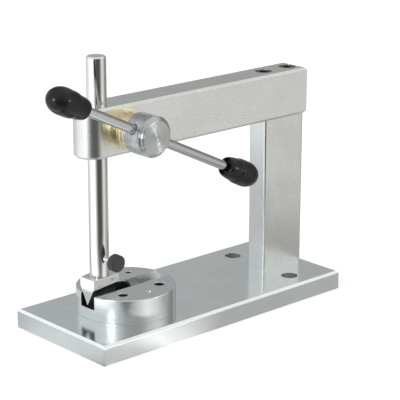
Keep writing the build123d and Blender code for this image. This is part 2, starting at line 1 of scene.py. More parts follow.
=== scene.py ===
"""Bench rack press: finishes, fine pieces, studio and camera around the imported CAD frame.

Every length is in metres in the frame of the CAD model: origin at the middle of the base
plate's underside, +Z up, +X from the ram towards the pillar, -Y towards the handle.
"""

import logging
import math
from dataclasses import dataclass, field
from enum import Enum
from typing import Any, Sequence

import bpy
import numpy as np
from mathutils import Matrix, Vector


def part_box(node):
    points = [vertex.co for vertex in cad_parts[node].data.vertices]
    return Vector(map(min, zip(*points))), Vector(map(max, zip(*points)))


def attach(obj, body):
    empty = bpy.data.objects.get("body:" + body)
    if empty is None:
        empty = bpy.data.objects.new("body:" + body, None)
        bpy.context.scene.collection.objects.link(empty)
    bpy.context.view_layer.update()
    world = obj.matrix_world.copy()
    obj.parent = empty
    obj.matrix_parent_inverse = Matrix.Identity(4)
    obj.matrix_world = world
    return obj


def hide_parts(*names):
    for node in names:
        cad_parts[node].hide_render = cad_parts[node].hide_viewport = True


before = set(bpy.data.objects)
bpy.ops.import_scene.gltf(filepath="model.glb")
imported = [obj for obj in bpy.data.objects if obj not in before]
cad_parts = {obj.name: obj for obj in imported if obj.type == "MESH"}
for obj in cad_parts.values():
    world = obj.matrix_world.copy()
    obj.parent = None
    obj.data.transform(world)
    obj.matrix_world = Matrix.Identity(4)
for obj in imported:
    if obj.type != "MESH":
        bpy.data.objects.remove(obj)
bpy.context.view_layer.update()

LOG = logging.getLogger("rack_press")
MM = 0.001
Colour = tuple[float, float, float]

#: a colour ramp holds no more than 1, so levels of light are divided by this in it and
#: multiplied by it again at the shader
HEADROOM = 2.0
#: : roughness added inside a hollow, whose dark colour is painted shade
RECESS_DULLNESS = 0.3


# ------------------------------------------------------------------ shader maths
class Sock:
    """One output of a shader node; arithmetic on it adds Math nodes."""

    def __init__(self, graph: "Graph", out: bpy.types.NodeSocket) -> None:
        """Wraps an output.

        Args:
            graph: the node tree it belongs to.
            out: the node's output socket.
        """
        self.graph = graph
        self.out = out

    def math(self, operation: str, *values: Any, clamp: bool = False) -> "Sock":
        """Adds a Math node over the given values or sockets and returns its output."""
        settings = {"operation": operation, "use_clamp": clamp}
        return self.graph.node("ShaderNodeMath", settings, dict(enumerate(values)))

    def __add__(self, other: Any) -> "Sock":
        """Sum of this value and another."""
        return self.math("ADD", self, other)

    __radd__ = __add__

    def __sub__(self, other: Any) -> "Sock":
        """This value less another."""
        return self.math("SUBTRACT", self, other)

    def __rsub__(self, other: Any) -> "Sock":
        """A plain value less this one."""
        return self.math("SUBTRACT", other, self)

    def __mul__(self, other: Any) -> "Sock":
        """Product of this value and another."""
        return self.math("MULTIPLY", self, other)

    __rmul__ = __mul__

    def __truediv__(self, other: Any) -> "Sock":
        """This value divided by another."""
        return self.math("DIVIDE", self, other)

    def clamped(self) -> "Sock":
        """This value held between 0 and 1."""
        return self.math("ADD", self, 0.0, clamp=True)

    def step(self, low: float, high: float) -> "Sock":
        """Smooth step: 0 below low, 1 above high.

        Args:
            low: value where the step begins.
            high: value where it is complete; below low for a falling step.

        Returns:
            The factor between 0 and 1.
        """
        return self.graph.node(
            "ShaderNodeMapRange",
            {"interpolation_type": "SMOOTHSTEP"},
            {"Value": self, "From Min": low, "From Max": high},
        )


class Graph:
    """A node tree with one method that adds any node."""

    def __init__(self, tree: bpy.types.NodeTree) -> None:
        """Takes an empty node tree."""
        self.tree = tree

    def node(
        self,
        kind: str,
        settings: dict[str, Any] | None = None,
        inputs: dict[Any, Any] | None = None,
        out: int | str = 0,
    ) -> Sock:
        """Adds a node.

        Args:
            kind: the node's type.
            settings: its properties, set first; "stops" fills a colour ramp.
            inputs: values or sockets by input name or number.
            out: which output to hand back.

        Returns:
            The chosen output.
        """
        made = self.tree.nodes.new(kind)
        for name, value in (settings or {}).items():
            if name == "stops":
                self.fill_ramp(made.color_ramp, value)
            else:
                setattr(made, name, value)
        for key, value in (inputs or {}).items():
            if isinstance(value, Sock):
                self.tree.links.new(value.out, made.inputs[key])
            else:
                made.inputs[key].default_value = value
        return Sock(self, made.outputs[out])

    @staticmethod
    def fill_ramp(ramp: bpy.types.ColorRamp, stops: Sequence[tuple[float, Colour]]) -> None:
        """Sets a colour ramp's stops from (place, colour) pairs in rising order."""
        while len(ramp.elements) < len(stops):
            ramp.elements.new(0.5)
        for element, (place, colour) in zip(ramp.elements, stops):
            element.position = place
            element.color = (*colour, 1.0)

    def place(self) -> Sock:
        """Object coordinates, which are the row frame's own."""
        return self.node("ShaderNodeTexCoord", out="Object")

    def stretched(self, scale: Sequence[float], centre: Sequence[float] = (0, 0, 0)) -> Sock:
        """Object coordinates about a centre, stretched.

        Args:
            scale: factor along each axis.
            centre: point that goes to the origin.

        Returns:
            The mapped vector.
        """
        shift = [-c * s for c, s in zip(centre, scale)]
        return self.node(
            "ShaderNodeMapping",
            inputs={"Vector": self.place(), "Location": shift, "Scale": tuple(scale)},
        )

    def noise(self, vector: Sock, scale: float, detail: float = 3.0, rough: float = 0.5) -> Sock:
        """Fractal noise between 0 and 1 over a vector."""
        return self.node(
            "ShaderNodeTexNoise",
            inputs={"Vector": vector, "Scale": scale, "Detail": detail, "Roughness": rough},
        )

    def mix(self, factor: Any, first: Any, second: Any) -> Sock:
        """Colour between two colours by a factor."""
        return self.node(
            "ShaderNodeMix",
            {"data_type": "RGBA", "clamp_factor": True},
            {0: factor, 6: rgba(first), 7: rgba(second)},
            out=2,
        )

    def bump(self, height: Sock, distance: float, normal: Sock | None = None) -> Sock:
        """Normal bent by a height.

        Args:
            height: the surface's height between 0 and 1.
            distance: metres that a height of 1 stands out.
            normal: the normal to start from.

        Returns:
            The bent normal.
        """
        inputs: dict[Any, Any] = {"Height": height, "Distance": distance, "Strength": 1.0}
        if normal is not None:
            inputs["Normal"] = normal
        return self.node("ShaderNodeBump", inputs=inputs)

    def rounded(self, radius: float) -> Sock:
        """Normal that rolls over sharp edges within a radius."""
        return self.node("ShaderNodeBevel", {"samples": 6}, {"Radius": radius})

    def vector(self, operation: str, *values: Any) -> Sock:
        """Adds a Vector Math node over the given vectors and returns its output."""
        return self.node("ShaderNodeVectorMath", {"operation": operation}, dict(enumerate(values)))

    def scaled(self, vector: Any, factor: Sock) -> Sock:
        """A vector times a number."""
        settings = {"operation": "SCALE"}
        return self.node("ShaderNodeVectorMath", settings, {0: vector, "Scale": factor})

    def split(self, vector: Sock) -> tuple[Sock, ...]:
        """The three parts of a vector."""
        made = self.node("ShaderNodeSeparateXYZ", inputs={"Vector": vector}).out.node
        return tuple(Sock(self, output) for output in made.outputs)

    def bearing(self, x: Sock, y: Sock) -> Sock:
        """Bearing of a direction, counted from -X, as a share of a full turn."""
        return y.math("ARCTAN2", y, x) / (2 * math.pi) + 0.5

    def output(self, kind: str, shader: Sock) -> None:
        """Ends the tree: adds its output node and links a shader to the surface."""
        made = self.tree.nodes.new(kind)
        self.tree.links.new(shader.out, made.inputs["Surface"])

    def lathe_normal(
        self, axis: "Axis", centre: Sequence[float], pitch: float, spread: float, normal: Sock
    ) -> Sock:
        """Normal tipped to and fro by fine lathe grooves.

        A groove tips the surface in the plane that holds the axis: outwards on a face and
        along the axis on a round side, so both directions get their own noise over the radius
        and the place along the axis.

        Args:
            axis: the lathe's axis.
            centre: a point on it.
            pitch: width of a groove, in metres.
            spread: how far the noise tips the normal.
            normal: the normal to start from.

        Returns:
            The tipped normal.
        """
        radius, along = self.about_axis(axis, centre)
        flat = [0.0 if item is axis else 1.0 for item in Axis]
        outward = self.vector(
            "NORMALIZE", self.vector("MULTIPLY", self.stretched((1, 1, 1), centre), flat)
        )
        # the second noise is read off a plane that lies this far from the first one's
        apart = 0.7
        first = self.node("ShaderNodeCombineXYZ", inputs={0: radius, 1: along})
        second = self.node("ShaderNodeCombineXYZ", inputs={0: along, 1: radius, 2: apart})
        out_tip = (self.noise(first, 1 / pitch, 1.0) - 0.5) * spread
        along_tip = (self.noise(second, 1 / pitch, 1.0) - 0.5) * spread
        axial = self.node("ShaderNodeCombineXYZ", inputs={"XYZ".index(axis.value): along_tip})
        tip = self.node(
            "ShaderNodeVectorTransform",
            {"vector_type": "VECTOR", "convert_from": "OBJECT", "convert_to": "WORLD"},
            {0: self.vector("ADD", self.scaled(outward, out_tip), axial)},
        )
        return self.vector("NORMALIZE", self.vector("ADD", normal, tip))

    def about_axis(self, axis: "Axis", centre: Sequence[float]) -> tuple[Sock, Sock]:
        """Distance from an axis and place along it.

        Args:
            axis: the axis.
            centre: a point on it.

        Returns:
            The radius and the place along the axis, in metres.
        """
        parts = list(self.split(self.stretched((1, 1, 1), centre)))
        along = parts.pop("XYZ".index(axis.value))
        square = parts[0] * parts[0] + parts[1] * parts[1]
        return square.math("SQRT", square), along


def rgba(value: Any) -> Any:
    """A colour with an alpha of 1, or the socket that stands for one."""
    return value if isinstance(value, Sock) else (*value, 1.0)


class Axis(Enum):
    """Axis that a grain or a lathe mark goes by."""

    X = "X"
    Y = "Y"
    Z = "Z"

    def stretch(self, length: float, width: float) -> list[float]:
        """Scale along each axis of a pattern that is long along this one.

        Args:
            length: size of a streak along this axis, in metres.
            width: its size along the others.

        Returns:
            The three factors.
        """
        return [1 / length if axis is self else 1 / width for axis in Axis]


@dataclass(frozen=True)
class Recess:
    """A round or straight-sided hollow, painted dark inside as painted shade and made duller."""

    centre: tuple[float, float, float]
    half_x: float
    half_y: float
    depth_start: float = 0.25 * MM
    depth_end: float = 30 * MM
    round_plan: bool = True
    #: : height over which the painted shade begins under the rim, and over which it ends at the
    #: bottom
    rim_blend: float = 0.15 * MM
    bottom_blend: float = 0.05 * MM
    #: scaled distances where the outline's blend begins and where it is complete
    outline_blend: tuple[float, float] = (1.03, 0.99)

    def mask(self, graph: Graph) -> Sock:
        """Works out where the hollow is, which is where shade is painted.

        Args:
            graph: the material's nodes.

        Returns:
            1 inside the outline between the top face and the hollow's bottom, 0 elsewhere; a
            round outline is where the scaled distance is under 1, a straight one where both
            scaled sides are.
        """
        scale = (1 / self.half_x, 1 / self.half_y, 1)
        x, y, z = graph.split(graph.stretched(scale, self.centre))
        if self.round_plan:
            out = x.math("SQRT", x * x + y * y)
        else:
            out = x.math("MAXIMUM", x.math("ABSOLUTE", x), y.math("ABSOLUTE", y))
        below = z.step(-self.depth_start, -self.depth_start - self.rim_blend)
        above = z.step(-self.depth_end - self.bottom_blend, -self.depth_end)
        return out.step(*self.outline_blend) * below * above


def paint_recess_shade(
    graph: Graph, recesses: Sequence[Recess], tint: Colour, colour: Sock, rough: Sock
) -> tuple[Sock, Sock]:
    """Paints shade into hollows in a bright surface as a dark colour, and makes them duller.

    Args:
        graph: the material's nodes.
        recesses: the hollows, if any.
        tint: painted shade colour inside them.
        colour: the surface's colour.
        rough: its roughness.

    Returns:
        The colour with painted shade in the hollows, and the roughness.
    """
    if not recesses:
        return colour, rough
    total: Any = 0.0
    for recess in recesses:
        total = recess.mask(graph) + total
    # painted shade: inside the hollows the colour is pulled towards the dark tint
    dark = total.clamped()
    return graph.mix(dark, colour, tint), rough + dark * RECESS_DULLNESS


# ------------------------------------------------------------------ finishes
@dataclass(frozen=True)
class Finish:
    """What all finishes share: a name, and a way to close the shader."""

    name: str

    def material(self) -> bpy.types.Material:
        """Builds the material; each finish has its own way."""
        raise NotImplementedError

    def graph(self) -> tuple[bpy.types.Material, Graph]:
        """Starts a material with an empty node tree."""
        made = bpy.data.materials.new(self.name)
        made.use_nodes = True
        made.node_tree.nodes.clear()
        return made, Graph(made.node_tree)

    @staticmethod
    def close(
        graph: Graph,
        colour: Any,
        metallic: float,
        roughness: Any,
        normal: Sock | None,
        **constants: float,
    ) -> None:
        """Ends a material in a Principled shader.

        Args:
            graph: the material's nodes.
            colour: base colour or its socket.
            metallic: 1 for bare metal, 0 for plastic.
            roughness: value or socket.
            normal: bent normal, if any.
            constants: other sockets' plain values, by name with _ for a space.
        """
        inputs: dict[Any, Any] = {
            "Base Color": rgba(colour),
            "Metallic": metallic,
            "Roughness": roughness,
        }
        if normal is not None:
            inputs["Normal"] = normal
        inputs.update({key.replace("_", " "): value for key, value in constants.items()})
        shader = graph.node("ShaderNodeBsdfPrincipled", inputs=inputs)
        graph.output("ShaderNodeOutputMaterial", shader)


@dataclass(frozen=True)
class GrainedSteel(Finish):
    """Flat bar or plate steel with a straight satin grain, clouds and worn edges."""

    tint: Colour = (0.62, 0.62, 0.60)
    cloud_tint: Colour = (0.56, 0.55, 0.52)
    grain: Axis = Axis.X
    grain_length: float = 30 * MM
    grain_width: float = 0.35 * MM
    cloud_size: float = 18 * MM
    cloud_amount: float = 0.6
    roughness: float = 0.26
    roughness_swing: float = 0.10
    groove_depth: float = 0.006 * MM
    edge_radius: float = 0.35 * MM
    recesses: tuple[Recess, ...] = ()
    # painted shade colour inside hollows, such as the base plate's countersinks
    recess_shade_tint: Colour = (0.19, 0.195, 0.20)

    def material(self) -> bpy.types.Material:
        """Builds the material.

        Returns:
            Satin steel: noise stretched along the grain gives the lines, a cloudy noise
            shifts colour and roughness, and the edges are rolled by the bevel node.
        """
        made, graph = self.graph()
        scale = self.grain.stretch(self.grain_length, self.grain_width)
        lines = graph.noise(graph.stretched(scale), 1.0, 2.0, 0.6)
        coarse = graph.noise(graph.stretched([s / 5 for s in scale]), 1.0, 2.0, 0.5)
        clouds = graph.noise(graph.place(), 1 / self.cloud_size, 4.0, 0.55)
        mask = clouds.step(0.38, 0.66) * 0.75 + coarse.step(0.35, 0.7) * 0.25
        mask = mask * self.cloud_amount
        colour = graph.mix(mask, self.tint, self.cloud_tint)
        shade = lines.step(0.2, 0.8)
        colour = graph.mix(shade * 0.16, colour, tuple(0.75 * c for c in self.tint))
        rough = self.roughness + (clouds - 0.5) * self.roughness_swing + (lines - 0.5) * 0.08
        # paints shade into the hollows
        colour, rough = paint_recess_shade(graph, self.recesses, self.recess_shade_tint, colour, rough)
        normal = graph.bump(lines, self.groove_depth, graph.rounded(self.edge_radius))
        self.close(graph, colour, 1.0, rough, normal)
        return made


@dataclass(frozen=True)
class TurnedMetal(Finish):
    """Metal with lathe rings about an axis, on faces and round sides alike."""

    tint: Colour = (0.62, 0.62, 0.60)
    dull_tint: Colour = (0.52, 0.52, 0.51)
    axis: Axis = Axis.Z
    centre: tuple[float, float, float] = (0.0, 0.0, 0.0)
    ring_pitch: float = 0.3 * MM
    ring_depth: float = 0.010 * MM
    #: how many broad rings there are to each fine one
    broad_share: float = 0.16
    ring_shade: float = 0.25
    roughness: float = 0.2
    cloud_size: float = 12 * MM
    edge_radius: float = 0.3 * MM
    groove_pitch: float = 0.12 * MM
    groove_spread: float = 0.5
    recesses: tuple[Recess, ...] = ()
    # painted shade colour inside hollows, such as the anvil disc's slot and station holes
    recess_shade_tint: Colour = (0.075, 0.08, 0.085)

    def material(self) -> bpy.types.Material:
        """Builds the material.

        Returns:
            Turned metal: noise over the radius and the place along the axis gives rings that
            run round the work; a cloudy noise dulls it in places.
        """
        made, graph = self.graph()
        radius, along = graph.about_axis(self.axis, self.centre)
        plane = graph.node("ShaderNodeCombineXYZ", inputs={0: radius, 1: along})
        rings = graph.noise(plane, 1 / self.ring_pitch, 2.0, 0.6)
        broad = graph.noise(plane, self.broad_share / self.ring_pitch, 1.0, 0.5)
        clouds = graph.noise(graph.place(), 1 / self.cloud_size, 3.0, 0.5)
        mask = (rings.step(0.3, 0.7) * 0.5 + broad.step(0.35, 0.65) * 0.5) * self.ring_shade
        colour = graph.mix(mask + (clouds - 0.5) * 0.2, self.tint, self.dull_tint)
        rough = self.roughness + (broad - 0.5) * 0.12 + (clouds - 0.5) * 0.06
        # paints shade into the hollows
        colour, rough = paint_recess_shade(graph, self.recesses, self.recess_shade_tint, colour, rough)
        normal = graph.bump(rings, self.ring_depth, graph.rounded(self.edge_radius))
        normal = graph.lathe_normal(
            self.axis, self.centre, self.groove_pitch, self.groove_spread, normal
        )
        self.close(graph, colour, 1.0, rough, normal)
        return made


@dataclass(frozen=True)
class PolishedBar(Finish):
    """Bright drawn bar: mirror polish with faint draw lines and handling marks."""

    tint: Colour = (0.80, 0.80, 0.79)
    grain: Axis = Axis.Z
    roughness: float = 0.10
    line_depth: float = 0.0015 * MM
    line_length: float = 40 * MM
    line_width: float = 0.4 * MM
    smear_size: float = 9 * MM
    edge_radius: float = 0.2 * MM

    def material(self) -> bpy.types.Material:
        """Builds the material.

        Returns:
            Polished steel: fine lines along the bar, faint smears in the gloss.
        """
        made, graph = self.graph()
        scale = self.grain.stretch(self.line_length, self.line_width)
        lines = graph.noise(graph.stretched(scale), 1.0, 2.0, 0.6)
        smears = graph.noise(graph.place(), 1 / self.smear_size, 4.0, 0.6)
        rough = self.roughness + smears.step(0.45, 0.75) * 0.08 + (lines - 0.5) * 0.03
        colour = graph.mix(smears * 0.15, self.tint, tuple(0.85 * c for c in self.tint))
        normal = graph.bump(lines, self.line_depth, graph.rounded(self.edge_radius))
        self.close(graph, colour, 1.0, rough, normal)
        return made


@dataclass(frozen=True)
class GlossPlastic(Finish):
    """Hard moulded plastic with a soft waviness and fine handling scuffs."""

    tint: Colour = (0.010, 0.009, 0.009)
    worn_tint: Colour = (0.020, 0.018, 0.017)
    roughness: float = 0.11
    wave_depth: float = 0.04 * MM
    wave_size: float = 14 * MM
    scuff_size: float = 1.2 * MM
    specular: float = 0.28

    def material(self) -> bpy.types.Material:
        """Builds the material.

        Returns:
            Gloss plastic: slow waves bend the highlights and scuffs dull them.
        """
        made, graph = self.graph()
        waves = graph.noise(graph.place(), 1 / self.wave_size, 1.0, 0.4)
        scuffs = graph.noise(graph.place(), 1 / self.scuff_size, 5.0, 0.7)
        worn = scuffs.step(0.52, 0.72)
        colour = graph.mix(worn * 0.5, self.tint, self.worn_tint)
        rough = self.roughness + worn * 0.10 + (waves - 0.5) * 0.06
        normal = graph.bump(waves, self.wave_depth)
        self.close(graph, colour, 0.0, rough, normal, Specular_IOR_Level=self.specular)
        return made


@dataclass(frozen=True)
class DarkFinish(Finish):
    """Blackened steel or grained moulding: dark, slightly grainy, paler on its edges."""

    tint: Colour = (0.025, 0.025, 0.028)
    pale_tint: Colour = (0.09, 0.09, 0.10)
    metallic: float = 0.5
    roughness: float = 0.38
    grain_size: float = 0.25 * MM
    grain_depth: float = 0.008 * MM
    patch_size: float = 3 * MM
    edge_radius: float = 0.15 * MM

    def material(self) -> bpy.types.Material:
        """Builds the material.

        Returns:
            Dark finish: a fine grain in colour, gloss and height.
        """
        made, graph = self.graph()
        grain = graph.noise(graph.place(), 1 / self.grain_size, 3.0, 0.6)
        patches = graph.noise(graph.place(), 1 / self.patch_size, 2.0, 0.5)
        mask = grain.step(0.45, 0.75) * 0.35 + patches.step(0.5, 0.75) * 0.3
        colour = graph.mix(mask, self.tint, self.pale_tint)
        rough = self.roughness + (grain - 0.5) * 0.18
        normal = graph.bump(grain, self.grain_depth, graph.rounded(self.edge_radius))
        self.close(graph, colour, self.metallic, rough, normal)
        return made


# ------------------------------------------------------------------ surfaces
class Surface:
    """Meshes worked out from arrays of points."""

    @staticmethod
    def sheet(
        name: str, points: np.ndarray, wrap_u: bool, wrap_v: bool, capped: bool = False
    ) -> bpy.types.Object:
        """Makes a mesh from a grid of points.

        Args:
            name: the piece's name.
            points: array of shape (rows, columns, 3), in metres.
            wrap_u: join the last row to the first.
            wrap_v: join the last column to the first.
            capped: close the first and the last row with a flat face.

        Returns:
            The object, linked to the scene, shaded smooth.
        """
        rows, columns = points.shape[:2]
        here = np.arange(rows * columns).reshape(rows, columns)
        if wrap_u:
            here = np.concatenate([here, here[:1]], axis=0)
        if wrap_v:
            here = np.concatenate([here, here[:, :1]], axis=1)
        quads = np.stack([here[:-1, :-1], here[:-1, 1:], here[1:, 1:], here[1:, :-1]], -1)
        faces = quads.reshape(-1, 4).tolist()
        if capped:
            faces += [here[0, :-1][::-1].tolist(), here[-1, :-1].tolist()]
        mesh = bpy.data.meshes.new(name)
        mesh.from_pydata(points.reshape(-1, 3).tolist(), [], faces)
        mesh.validate()
        mesh.shade_smooth()
        made = bpy.data.objects.new(name, mesh)
        bpy.context.scene.collection.objects.link(made)
        return made


@dataclass
class KnurledHead:
    """Round screw head with a diamond knurl on its side and a dished face."""

    teeth: int = 34
    knurl_depth: float = 0.32 * MM
    edge: float = 0.5 * MM
    twist: float = 9.0
    dish_depth: float = 0.35 * MM
    columns_per_tooth: int = 8
    side_rows: int = 30
    face_rows: int = 10
    #: first and last radius of the rows on a face, as shares of the face's own
    face_span: tuple[float, float] = (0.94, 0.04)
    #: how soon the dish reaches its depth
    dish_gain: float = 1.4
    #: where the knurl begins, as a share of the chamfered edge's length
    knurl_start: float = 0.8

    def surface(self, low: Vector, high: Vector) -> np.ndarray:
        """Works out the head's points between two corners of its box, its axis along Y.

        A point at angle a and height h stands at radius R less the knurl. The knurl is the
        depth times the larger of two triangle waves, one over teeth * a + twist * h and one
        over teeth * a - twist * h, faded out over both chamfered edges. Rows then run inwards
        over the face, which sinks as the square of the distance from the rim to its depth.

        Args:
            low: lowest corner.
            high: highest corner.

        Returns:
            Points of shape (rows, columns, 3), rear centre to front centre.
        """
        middle = (low + high) / 2
        radius = (high.x - low.x) / 2
        length = high.y - low.y
        angle = np.linspace(0, 2 * np.pi, self.teeth * self.columns_per_tooth, endpoint=False)
        height = np.linspace(0, 1, self.side_rows)
        a, h = np.meshgrid(angle, height, indexing="ij")

        def wave(phase: np.ndarray) -> np.ndarray:
            """Triangle wave between 0 and 1."""
            return np.abs((phase / np.pi) % 2 - 1)

        rising = wave(self.teeth * a + self.twist * h)
        falling = wave(self.teeth * a - self.twist * h)
        from_end = np.minimum(h, 1 - h) * length
        side = radius - self.edge * np.clip(1 - from_end / self.edge, 0, 1)
        fade = np.clip(from_end / self.edge - self.knurl_start, 0, 1)
        side = side - self.knurl_depth * np.maximum(rising, falling) * fade
        inward = np.linspace(*self.face_span, self.face_rows)
        rear = np.repeat(((radius - self.edge) * inward[::-1])[:, None], len(angle), 1)
        front = np.repeat(((radius - self.edge) * inward)[:, None], len(angle), 1)
        radii = np.concatenate([rear, side.T, front])
        sink = np.minimum(self.dish_depth * (1 - inward) ** 2 * self.dish_gain, self.dish_depth)
        places = np.concatenate([0 * inward, height * length, length - sink])
        x = middle.x + radii * np.cos(angle)
        y = high.y - np.repeat(places[:, None], len(angle), 1)
        z = middle.z + radii * np.sin(angle)
        return np.stack([x, y, z], -1)


def camera_matrix(place: Sequence[float], yaw: float, pitch: float, roll: float) -> Matrix:
    """Camera pose from its place and angles.

    Args:
        place: where the camera stands.
        yaw: turn of the view from +Y towards +X, radians.
        pitch: downward tilt, radians.
        roll: turn about the view axis, radians.

    Returns:
        The world matrix.
    """
    ahead = Vector(
        (math.cos(pitch) * math.sin(yaw), math.cos(pitch) * math.cos(yaw), -math.sin(pitch))
    )
    right = Vector((math.cos(yaw), -math.sin(yaw), 0.0))
    up = right.cross(ahead)
    right, up = (
        math.cos(roll) * right + math.sin(roll) * up,
        -math.sin(roll) * right + math.cos(roll) * up,
    )
    turn = Matrix((right, up, -ahead)).transposed().to_4x4()
    return Matrix.Translation(Vector(place)) @ turn


# ------------------------------------------------------------------ studio
@dataclass
class Studio:
    """Pale floor, soft surrounding light and the camera."""

    floor_half: float = 6.0
    floor_rows: int = 9
    floor_gap: float = 0.02 * MM
    floor_tint: Colour = (0.93, 0.93, 0.93)
    floor_grain_tint: Colour = (0.90, 0.90, 0.90)
    floor_glow: float = 0.35
    #: the camera's place, and its yaw, pitch and roll in radians
    camera_place: tuple[float, float, float] = (-0.65212, -0.72985, 0.37177)
    camera_turn: tuple[float, float, float] = (0.740, 0.297, 0.0024)
    #: the lens and its sensor's width, in millimetres
    focal_length: float = 146.1465
    sensor_width: float = 36.0
    #: bearing from +X, in degrees, where the light is coolest
    cool_bearing: float = 120.0
    #: light around the work just below the horizon: bearing from +X in degrees, level
    low_ring: tuple[tuple[float, float], ...] = (
        (-180, 1.35), (-165, 1.40), (-154, 0.80), (-142, 0.35), (-131, 0.10), (-97, 0.09),
        (-85, 0.18), (-72, 0.65), (-59, 0.88), (-44, 0.78), (-27, 0.40), (-6, 0.22),
        (31, 0.50), (60, 0.60), (100, 0.85), (126, 1.0), (145, 1.30), (180, 1.35),
    )
    #: the same above the horizon
    high_ring: tuple[tuple[float, float], ...] = (
        (-180, 0.92), (-150, 0.85), (-131, 0.45), (-97, 0.40), (-72, 0.80), (-45, 0.90),
        (-12, 0.35), (5, 0.28), (25, 0.36), (47, 0.44), (70, 0.52), (100, 0.90),
        (125, 0.90), (145, 0.92), (180, 0.92),
    )
    #: the same about 43 degrees up
    upper_ring: tuple[tuple[float, float], ...] = (
        (-180, 0.92), (-140, 0.88), (-100, 0.86), (-60, 0.88), (-24, 1.0), (10, 0.85),
        (50, 0.36), (75, 0.22), (95, 0.40), (112, 1.20), (140, 0.95), (180, 0.92),
    )
    overhead: float = 0.90
    overhead_tint: Colour = (0.97, 0.99, 1.0)
    underneath: float = 0.75
    #: heights in degrees where the high ring, the upper ring, the overhead light and the
    #: light from underneath begin and where they are complete
    bands: tuple[tuple[float, float], ...] = ((-4, 10), (24, 38), (52, 68), (-28, -52))
    #: small soft lamps: bearing, height and half width in degrees, level
    lamps: tuple[tuple[float, float, float, float], ...] = (
        (-58.0, 4.0, 5.0, 7.0), (-164.0, 7.0, 9.0, 9.0),
    )
    lamp_tint: Colour = (0.93, 0.97, 1.0)
    #: where a lamp's edge begins and is complete, as shares of its half width
    lamp_edge: tuple[float, float] = (1.5, 0.7)
    #: paper close round the press: bearing from the anvil's middle, level
    near_ring: tuple[tuple[float, float], ...] = (
        (-180, 1.75), (-165, 1.70), (-150, 1.40), (-134, 0.58), (-112, 0.68), (-90, 1.15),
        (-68, 0.88), (-46, 0.46), (-20, 0.46), (20, 0.60), (80, 0.70), (115, 0.80),
        (135, 1.20), (150, 1.65), (165, 1.80), (180, 1.75),
    )
    near_fade: tuple[float, float] = (0.15, 0.31)
    #: radius of the first and the last row, and the rows and columns between them
    near_span: tuple[float, float] = (0.5 * MM, 0.6)
    near_rows: int = 14
    near_columns: int = 64
    near_gap: float = 0.01 * MM
    #: bearing that the near paper reaches less far towards, and how much less
    short_side: float = -132.0
    short_pull: float = 0.6
    #: how much dimmer the paper is in a strip off the base plate's free end, the strip's
    #: width and the width of its edges
    end_strip: float = 0.58
    strip_width: float = 36 * MM
    strip_edge: float = 6 * MM

    def ring_light(
        self, graph: Graph, bearing: Sock, ring: Sequence[tuple[float, float]]
    ) -> Sock:
        """Light of a ring at a bearing, a little cooler towards one side.

        Args:
            graph: the nodes.
            bearing: the place on the ring, as a share of a turn.
            ring: bearings in degrees and levels, in rising order.

        Returns:
            The light, divided by the headroom.
        """
        stops = []
        for degrees, level in ring:
            cool = 0.5 + 0.5 * math.cos(math.radians(degrees - self.cool_bearing))
            tint = (1.0 - 0.05 * cool, 1.0 - 0.012 * cool, 0.955 + 0.045 * cool)
            stops.append(((degrees + 180) / 360, tuple(level / HEADROOM * t for t in tint)))
        return graph.node("ShaderNodeValToRGB", {"stops": stops}, {"Fac": bearing})

    def with_lamp(self, graph: Graph, way: Sock, light: Sock, lamp: Sequence[float]) -> Sock:
        """Adds a small soft lamp, a patch of light round one direction.

        Args:
            graph: the world's nodes.
            way: the direction that is looked in.
            light: the light so far.
            lamp: bearing, height and half width in degrees, and level.

        Returns:
            The light with the lamp in it.
        """
        bearing, height, spread, level = lamp
        flat = math.cos(math.radians(height))
        towards = (
            flat * math.cos(math.radians(bearing)),
            flat * math.sin(math.radians(bearing)),
            math.sin(math.radians(height)),
        )
        near = graph.node(
            "ShaderNodeVectorMath", {"operation": "DOT_PRODUCT"}, {0: way, 1: towards}, out="Value"
        )
        outer, inner = (math.cos(math.radians(share * spread)) for share in self.lamp_edge)
        tint = tuple(level / HEADROOM * part for part in self.lamp_tint)
        return graph.mix(near.step(outer, inner), light, tint)

    def surroundings(self) -> None:
        """Builds the world's light: three rings mixed by height, a top, a bottom and lamps."""
        world = bpy.data.worlds.new("studio_light")
        world.use_nodes = True
        world.node_tree.nodes.clear()
        graph = Graph(world.node_tree)
        way = graph.node("ShaderNodeTexCoord", out="Generated")
        x, y, z = graph.split(way)
        bearing = graph.bearing(x, y)
        light, high, upper = (
            self.ring_light(graph, bearing, ring)
            for ring in (self.low_ring, self.high_ring, self.upper_ring)
        )
        top = tuple(self.overhead / HEADROOM * part for part in self.overhead_tint)
        below = (self.underneath / HEADROOM,) * 3
        for layer, (begun, whole) in zip((high, upper, top, below), self.bands):
            share = z.step(math.sin(math.radians(begun)), math.sin(math.radians(whole)))
            light = graph.mix(share, light, layer)
        for lamp in self.lamps:
            light = self.with_lamp(graph, way, light, lamp)
        glow = graph.node("ShaderNodeBackground", inputs={"Color": light, "Strength": HEADROOM})
        graph.output("ShaderNodeOutputWorld", glow)
        bpy.context.scene.world = world

    def floor(self) -> None:
        """Lays a pale floor; polished work mirrors the soft light and not the floor."""
        side = np.linspace(-self.floor_half, self.floor_half, self.floor_rows)
        x, y = np.meshgrid(side, side, indexing="ij")
        points = np.stack([x, y, 0 * x - self.floor_gap], -1)
        made = Surface.sheet("floor", points, False, False)
        paper, graph = Finish("floor_paper").graph()
        grain = graph.noise(graph.place(), 900.0, 2.0, 0.5)
        tone = graph.mix(grain * 0.2, self.floor_tint, self.floor_grain_tint)
        Finish.close(
            graph, tone, 0.0, 0.9, None,
            Emission_Color=(1.0, 1.0, 1.0, 1.0), Emission_Strength=self.floor_glow,
        )
        made.data.materials.append(paper)
        made.visible_glossy = False

